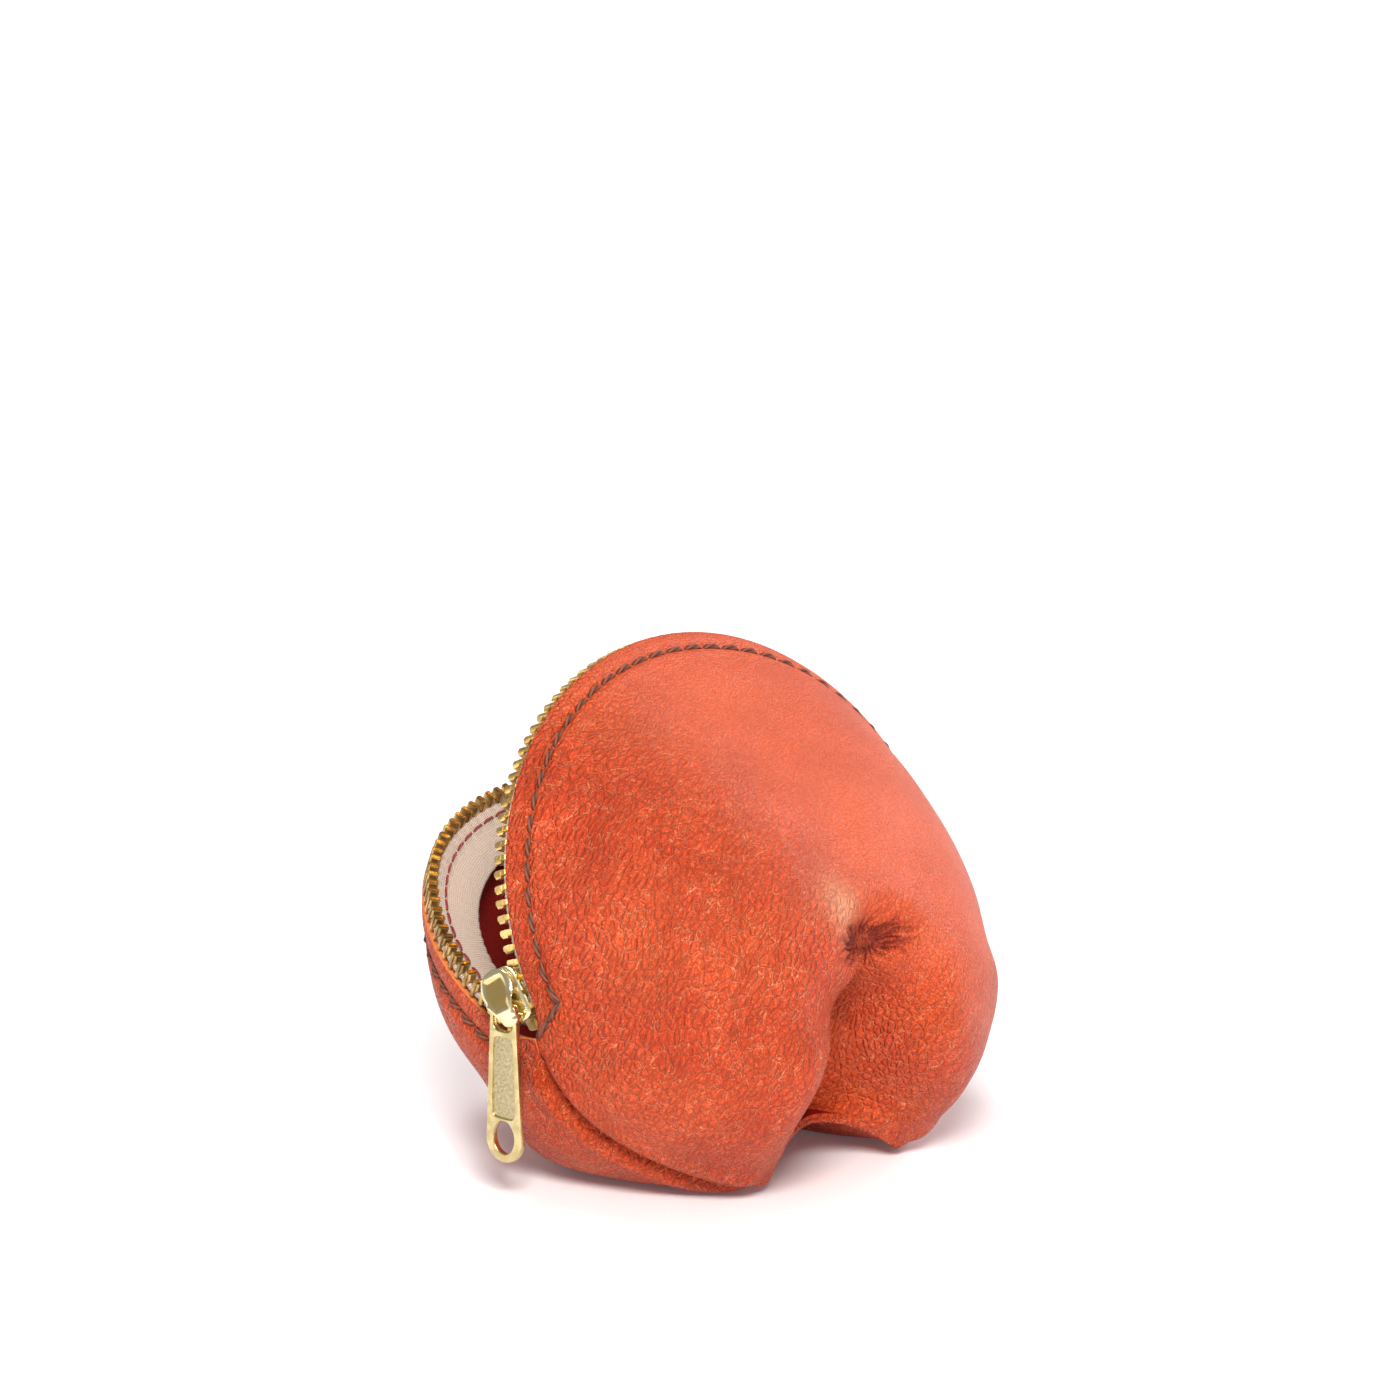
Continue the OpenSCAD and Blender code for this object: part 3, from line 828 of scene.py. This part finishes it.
def thread_finish(name, dark, light):
    """Twisted waxed thread, dark, with a painted highlight along the crown of each strand."""
    thread = Finish(name)
    strand_painted_highlight = thread.stored("strand", "Fac")
    place = thread.stored("hide")
    hair = thread.noise(place, 9.0, 4.0)
    # Paler along each strand's crown: a painted highlight.
    shade = strand_painted_highlight * 0.75 + hair * 0.35
    thread.set(Base_Color=thread.mix(shade, dark, light), Roughness=0.62,
               Normal=thread.bump(hair, 0.5, 0.00012))
    thread.set(Specular_IOR_Level=0.35)
    return thread


brown_thread = thread_finish("brown_thread", (0.014, 0.003, 0.002), (0.26, 0.075, 0.04))
maroon_thread = thread_finish("maroon_thread", (0.09, 0.006, 0.008), (0.40, 0.05, 0.05))


def on_skin(skin, s, inward):
    """A point of a panel and the direction out of it, s round its edge and inward from it."""
    grid, from_edge, outward = skin
    row = (s / 12 * len(grid)) % len(grid)
    low = int(row)
    out = []
    for field in (grid, outward):
        pair = [[np.interp(inward, from_edge[i % len(grid)], field[i % len(grid), :, k])
                 for k in range(3)] for i in (low, low + 1)]
        out.append(np.array(pair[0]) * (low + 1 - row) + np.array(pair[1]) * (row - low))
    return out[0], out[1] / np.linalg.norm(out[1])


def sewn(name, paths, thick, finish, sink=0.45, rise=0.30):
    """Stitches as three-strand tubes, each over a path of (point, outward) pairs."""
    verts, faces, strand = [], [], []
    turn = np.linspace(0, 2 * pi, 19)[:-1]
    count = 0
    for path in paths:
        points = np.array([p for p, _ in path])
        outs = np.array([o for _, o in path])
        t = np.linspace(0, 1, len(points))[:, None]
        points = points + outs * (rise * np.sin(pi * t) ** 0.7 - sink * bell(t, 0, 0.10)
                                  - sink * bell(t, 1, 0.10))
        ahead = np.gradient(points, axis=0)
        ahead /= np.linalg.norm(ahead, axis=1, keepdims=True)
        sides = np.cross(ahead, outs)
        sides /= np.linalg.norm(sides, axis=1, keepdims=True)
        ups = np.cross(sides, ahead)
        run = np.concatenate([[0], np.cumsum(np.linalg.norm(np.diff(points, axis=0), axis=1))])
        wave = np.cos(3 * (turn[None] - run[:, None] * 2 * pi / 7.5))
        radius = thick * (1 + 0.17 * wave) * (0.72 + 0.28 * np.sin(pi * t) ** 0.5)
        ring = points[:, None] + (radius * np.cos(turn))[..., None] * sides[:, None] \
            + (radius * np.sin(turn))[..., None] * ups[:, None]
        at = count + np.arange(ring.shape[0] * ring.shape[1]).reshape(ring.shape[:2])
        nxt = np.roll(at, -1, 1)
        faces += np.stack([at[:-1], nxt[:-1], nxt[1:], at[1:]], -1).reshape(-1, 4).tolist()
        faces += [at[0, ::-1].tolist(), at[-1].tolist()]
        verts.append(ring.reshape(-1, 3))
        strand.append((wave * 0.5 + 0.5).ravel())
        count += ring.shape[0] * ring.shape[1]
    points = np.concatenate(verts)
    return solid(name, points, faces, finish, hide=points, strand=np.concatenate(strand))


def run_of(skin, starts, ends, inward_from, inward_to, steps=15):
    return [[on_skin(skin, s0 + (s1 - s0) * k / (steps - 1),
                     inward_from + (inward_to - inward_from) * k / (steps - 1))
             for k in range(steps)] for s0, s1 in zip(starts, ends)]


def lip_stitches(skin):
    s = 3.6 + 4.8 * np.arange(STITCHES + 1) / STITCHES
    gap = 0.055 * (s[1] - s[0])
    return run_of(skin, s[:-1] + gap, s[1:] - gap, STITCH_IN, STITCH_IN)


def tacks(skin, right):
    """Doubled stitches that turn the corner and cross the end of the zipper."""
    corners = ((3.60, 3.9), (3.50, 4.9), (3.40, 2.9), (3.33, 0.9))
    paths = []
    for (s0, d0), (s1, d1) in zip(corners, corners[1:]):
        for off in (-0.33, 0.33):
            ends = [12 - v if right else v for v in (s0, s1)]
            paths += run_of(skin, ends[:1], ends[1:], d0 + off, d1 + off)
    return paths


def tape_stitches(rear):
    paths = []
    for k in range(STITCHES):
        angle = pi - (k + np.linspace(0.12, 0.88, 9)) / STITCHES * pi
        points = on_lip(rear, 45.0, angle, -0.98)
        paths.append([(p, -lip_frame(rear)[2]) for p in points])
    return paths


def seam_stitches(right):
    """Thread of a turned side seam, on the inside of the pouch."""
    paths = []
    heart_mid = np.array((0, 24.0, 40.0))
    for k in range(14):
        path = []
        for share in np.linspace(k, k + 0.7, 9):
            q = 0.08 + 0.88 * share / 14
            p = (1 - q) ** 2 * tip + 2 * (1 - q) * q * seam_bow + q * q * seam_end
            inward = (heart_mid - p) / np.linalg.norm(heart_mid - p)
            p = p + 3.1 * inward
            flip = np.array((-1, 1, 1)) if right else 1
            path.append((p * flip + shift, inward * flip))
        paths.append(path)
    return paths


for name, node, paths, body in (
        ("front_lip_stitches", "front_topstitch", lip_stitches(front_skin), "pouch"),
        ("rear_lip_stitches", "rear_topstitch", lip_stitches(rear_skin), "rear_lip"),
        ("left_tack_stitches", "left_bar_tack", tacks(front_skin, False), "pouch"),
        ("right_tack_stitches", "right_bar_tack", tacks(front_skin, True), "pouch")):
    stitches = sewn(name, paths, 0.44, brown_thread, 0.55, 0.34)
    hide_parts(node)
    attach(stitches, body)
for name, node, right in (("left_seam_stitches", "left_seam_thread", False),
                          ("right_seam_stitches", "right_seam_thread", True)):
    stitches = sewn(name, seam_stitches(right), 0.30, brown_thread, 0.0, 0.1)
    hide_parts(node)
    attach(stitches, "pouch")
for name, rear, body in (("front_tape_stitches", False, "pouch"),
                         ("rear_tape_stitches", True, "rear_lip")):
    stitches = sewn(name, tape_stitches(rear), 0.22, maroon_thread, 0.3, 0.12)
    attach(stitches, body)

# ---------------------------------------------------------------------------
# Slider: cast brass, two plates joined by a post, with a broad domed bridge on
# the outer plate that narrows to a nose over the tab's loop. Its lengths run
# outward from the teeth, along the chain to the closed end, and across.
# ---------------------------------------------------------------------------
SLIDER_ANGLE = pi + asin((hinge_drop - 5.5) / CHAIN_R)
slider_brass = brass_finish("slider_brass", (0.90, 0.80, 0.50), (0.62, 0.46, 0.18), 0.13, 0.35)
plate_lean = radians(10)
plate_roll = radians(22)
# The pin of the tab keeps its place as the slider is turned, this far out from the teeth
pin_out = 4.0


def at_slider(points):
    """Slider lengths (out, along, across) turned toward the open V and put in place."""
    c, s = cos(plate_lean), sin(plate_lean)
    turned = (points - (pin_out, 0, 0)) @ np.array(((1, 0, 0), (0, c, s), (0, -s, c)))
    c, s = cos(plate_roll), sin(plate_roll)
    turned = turned @ np.array(((c, 0, s), (0, 1, 0), (-s, 0, c))) + (pin_out, 0, 0)
    return placed(False, SLIDER_ANGLE, CHAIN_R, -LIP, turned)


def squircle(count, power):
    turn = np.linspace(0, 2 * pi, count + 1)[:-1]
    c, s = np.cos(turn), np.sin(turn)
    return np.sign(c) * np.abs(c) ** (2 / power), np.sign(s) * np.abs(s) ** (2 / power)


def cast_plate(name, y0, y1, half, low, high, droop):
    """A rounded plate with its long edges turned towards the teeth."""
    y = y0 + (y1 - y0) * (1 - np.cos(np.linspace(0, pi, 41))) / 2
    ends = np.clip(1 - np.abs((2 * y - y0 - y1) / (y1 - y0)) ** 5, 0, 1)
    width = half(y) * ends ** 0.25
    across, out = squircle(36, 5)
    z = width[:, None] * across
    x = (low + high) / 2 + (high - low) / 2 * out * np.minimum(ends[:, None] * 4, 1) ** 0.3 \
        - droop * np.abs(z / 4) ** 3
    return loft(name, at_slider(np.stack(np.broadcast_arrays(x, y[:, None], z), -1)), slider_brass)


def bridge(name):
    """The domed bridge: wide round head, sunk panel on top, and a nose over the loop."""
    t = np.linspace(0, 1, 61)
    y = -5.3 + 10.4 * (1 - np.cos(pi * t)) / 2
    head = np.sqrt(np.maximum(1 - ((y + 1.9) / 3.45) ** 2, 0)) * (y < -1.9) + (y >= -1.9)
    half = (3.45 - 1.65 * ramp(y, -1.8, 2.9)) * head
    nose = np.sqrt(np.maximum(1 - ((y - 3.7) / 1.45) ** 2, 0)) * (y > 3.7) + (y <= 3.7)
    half = np.maximum(half * nose, 0.05)
    top = 2.6 + 1.0 * np.maximum(head, 0) ** 0.8 + 2.0 * ramp(y, -4.5, 2.0) - 1.3 * (1 - nose)
    floor_x = 2.35 + 2.3 * ramp(y, -0.6, 0.1) * (1 - ramp(y, 3.0, 3.6))
    across, out = squircle(48, 2.5)
    z = half[:, None] * across
    x = (top + floor_x)[:, None] / 2 + (top - floor_x)[:, None] / 2 * out
    rim = np.maximum(np.abs(across) / 0.72, np.abs((y[:, None] + 1.2) / 3.1))
    sunk = (1 - ramp(rim ** 2, 0.45, 1.05)) * (out > 0.3)
    x = x - 0.34 * sunk
    grid = np.stack(np.broadcast_arrays(x, y[:, None], z), -1)
    return loft(name, at_slider(grid), crown_brass, sunk=sunk.ravel())


crown_brass = brass_finish("crown_brass", (0.90, 0.80, 0.50), (0.62, 0.46, 0.18), 0.13, 0.35)
gold = crown_brass.mix(crown_brass.stored("sunk", "Fac") * 0.85,
                       Value(crown_brass, crown_brass.shader.inputs["Base Color"].links[0].from_socket),
                       (0.80, 0.54, 0.16))
crown_brass.set(Base_Color=gold)

outer_plate = cast_plate("outer_plate", -5, 5, lambda y: 3.95 - 0.07 * (y + 5), 1.5, 2.5, 0.55)
inner_plate = cast_plate("inner_plate", -4.7, 4.7, lambda y: 3.25 - 0.05 * (y + 5), -2.9, -1.9, -0.3)
post_verts, post_faces = taken(block((-2.2, -4.7, -0.45), (1.9, -3.0, 0.45), 0.12))
post = solid("post", at_slider(post_verts), post_faces, slider_brass)
slider_casting = joined("slider_casting", [outer_plate, inner_plate, post])
slider_casting.data.set_sharp_from_angle(angle=radians(45))
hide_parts("slider_body")
crown = bridge("slider_bridge")
crown.data.set_sharp_from_angle(angle=radians(50))
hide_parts("slider_crown")
for piece in (slider_casting, crown):
    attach(piece, "slider")

# ---------------------------------------------------------------------------
# Pull tab: a long stamped strip that hangs from the bridge, with a polished
# raised border round a grained panel, a loop at the top and an oval eye below.
# ---------------------------------------------------------------------------
pin = np.array(joints["tab_swing"]["pos_m"]) / MM
tab_axis = np.array(joints["tab_swing"]["axis"])
tab_wide = -tab_axis
tab_up = np.array((0, 0, 1.0))
tab_out = np.cross(tab_wide, tab_up)
TAB_L = 28.0


def pill(cx, cy, rx, ry, power=2.0, count=48):
    c, s = squircle(count, power)
    return [(cx + rx * float(a), cy + ry * float(b)) for a, b in zip(c, s)]


def tab_outline(grow):
    """The strip's outline: round below, slightly tapered, square-shouldered above."""
    low = [(3.95 * cos(a), -TAB_L + 0.55 + 3.95 + 3.95 * sin(a))
           for a in np.linspace(-pi * 0.98, -pi * 0.02, 33)]
    high = [(2.8 - 1.1 + 1.1 * cos(a), 0.95 - 1.1 + 1.1 * sin(a)) for a in np.linspace(0, pi / 2, 9)]
    high += [(-x, y) for x, y in reversed(high)]
    points = np.array(low + high)
    middle = np.array((0, -TAB_L / 2 + 1))
    return [tuple(p + grow * (p - middle) / np.linalg.norm(p - middle)) for p in points]


def cut_plate(name, outlines, thick, bevel, finish):
    """A flat plate with holes and rounded edges, stood in the plane of the tab."""
    curve = bpy.data.curves.new(name, "CURVE")
    curve.dimensions = "2D"
    curve.fill_mode = "BOTH"
    curve.extrude = thick / 2 - bevel
    curve.bevel_depth = bevel
    curve.bevel_resolution = 3
    curve.offset = -bevel
    for outline in outlines:
        spline = curve.splines.new("POLY")
        spline.points.add(len(outline) - 1)
        for point, (x, y) in zip(spline.points, outline):
            point.co = (x, y, 0, 1)
        spline.use_cyclic_u = True
    shape = bpy.data.objects.new(name, curve)
    scene.collection.objects.link(shape)
    graph = bpy.context.evaluated_depsgraph_get()
    graph.update()
    flat = bpy.data.meshes.new_from_object(shape.evaluated_get(graph))
    points = np.array([tuple(v.co) for v in flat.vertices])
    faces = [list(f.vertices) for f in flat.polygons]
    bpy.data.objects.remove(shape)
    tab_points = pin + points @ np.array((tab_wide, tab_up, tab_out))
    piece = solid(name, tab_points, faces, finish)
    bm = bmesh.new()
    bm.from_mesh(piece.data)
    bmesh.ops.remove_doubles(bm, verts=bm.verts, dist=1e-7)
    bm.to_mesh(piece.data)
    bm.free()
    piece.data.set_sharp_from_angle(angle=radians(30))
    return piece


tab_brass = brass_finish("tab_brass", (0.72, 0.60, 0.31), (0.42, 0.30, 0.11), 0.20, 0.45)
grained = Finish("tab_grained_panel")
tab_place = grained.node("ShaderNodeTexCoord", out="Object")
sand = grained.noise(tab_place, 1900.0, 3.0)
grained.set(Base_Color=grained.mix(sand, (0.26, 0.20, 0.09), (0.86, 0.74, 0.46)), Metallic=1.0,
            Roughness=sand * 0.3 + 0.28, Normal=grained.bump(sand, 1.0, 0.00025))
loop_hole = pill(0, -2.35, 2.2, 1.7, 2.8)
eye = pill(0, -23.0, 2.35, 2.95)
field = [(x * (1 - 0.012 * (y + 22)), y) for x, y in pill(0, -12.3, 2.75, 7.2, 7.0, 64)]
border = cut_plate("tab_border", [tab_outline(0), loop_hole, eye, field], 1.2, 0.22, tab_brass)
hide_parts("pull_tab")
panel_plate = cut_plate("tab_panel", [pill(0, -12.3, 3.1, 7.6, 7.0, 64)], 0.62, 0.05, grained)
for piece in (border, panel_plate):
    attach(piece, "pull_tab")
